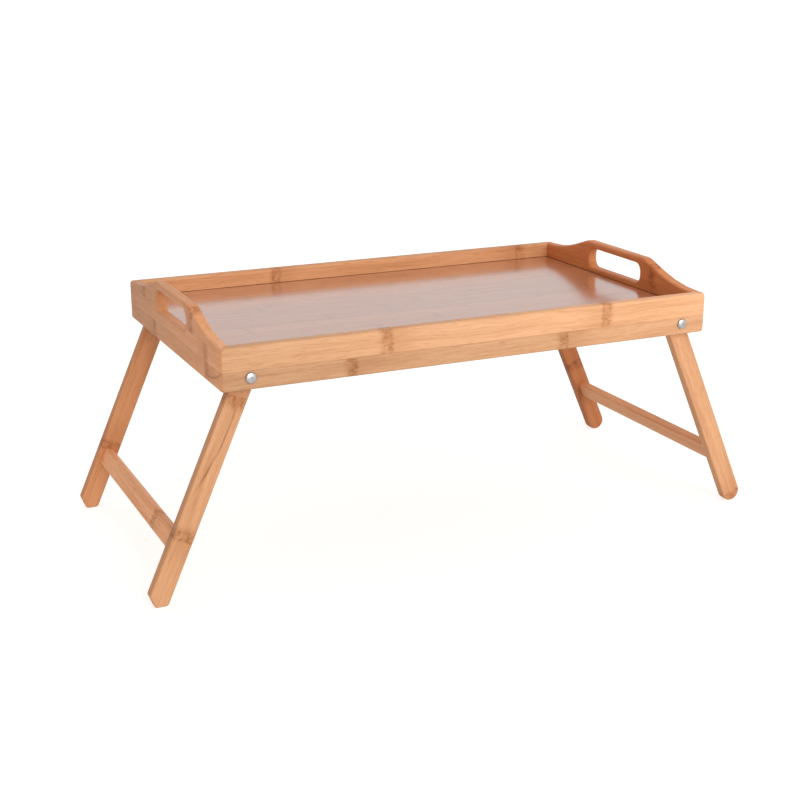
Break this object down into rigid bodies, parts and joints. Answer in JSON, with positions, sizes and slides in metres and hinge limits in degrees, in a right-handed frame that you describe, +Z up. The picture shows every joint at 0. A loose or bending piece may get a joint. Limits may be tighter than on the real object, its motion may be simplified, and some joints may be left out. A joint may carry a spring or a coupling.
{
  "type": "folding tray table",
  "caption": "Rectangular bamboo bed tray with raised slotted end handles, a recessed lacquered panel and splayed leg frames that fold flat under it.",
  "frame": {"origin": "on the floor, below the middle of the tray", "axes": "+X along the tray's length towards its right end, +Y across it towards the back rail, +Z up"},
  "size_m": [0.6376, 0.3016, 0.2507],
  "materials": {
    "bamboo": "satin clear lacquer over laminated bamboo strips",
    "lacquered_panel": "gloss clear lacquer",
    "dowel_wood": "raw, unfinished",
    "steel": "polished nickel-plated steel"
  },
  "bodies": {
    "tray": {"tray_panel": "lacquered_panel", "front_rail": "bamboo", "back_rail": "bamboo", "left_end_board": "bamboo", "right_end_board": "bamboo", "left_front_corner_key": "dowel_wood", "left_front_pivot_bolt": "steel", "left_front_spacer_washer": "steel", "left_front_inner_washer": "steel", "left_front_cap_nut": "steel", "left_back_corner_key": "dowel_wood", "left_back_pivot_bolt": "steel", "left_back_spacer_washer": "steel", "left_back_inner_washer": "steel", "left_back_cap_nut": "steel", "right_front_corner_key": "dowel_wood", "right_front_pivot_bolt": "steel", "right_front_spacer_washer": "steel", "right_front_inner_washer": "steel", "right_front_cap_nut": "steel", "right_back_corner_key": "dowel_wood", "right_back_pivot_bolt": "steel", "right_back_spacer_washer": "steel", "right_back_inner_washer": "steel", "right_back_cap_nut": "steel"},
    "left_leg_frame": {"left_front_leg": "bamboo", "left_back_leg": "bamboo", "left_stretcher": "bamboo", "left_front_upper_dowel": "dowel_wood", "left_front_lower_dowel": "dowel_wood", "left_back_upper_dowel": "dowel_wood", "left_back_lower_dowel": "dowel_wood"},
    "right_leg_frame": {"right_front_leg": "bamboo", "right_back_leg": "bamboo", "right_stretcher": "bamboo", "right_front_upper_dowel": "dowel_wood", "right_front_lower_dowel": "dowel_wood", "right_back_upper_dowel": "dowel_wood", "right_back_lower_dowel": "dowel_wood"}
  },
  "joints": [
    {"name": "left_leg_fold", "type": "hinge", "parent": "tray", "child": "left_leg_frame", "pos_m": [-0.2233, 0, 0.20396], "axis": [0, -1, 0], "range_deg": [0, 113.8]},
    {"name": "right_leg_fold", "type": "hinge", "parent": "tray", "child": "right_leg_frame", "pos_m": [0.2233, 0, 0.20396], "axis": [0, 1, 0], "range_deg": [0, 113.8]}
  ]
}
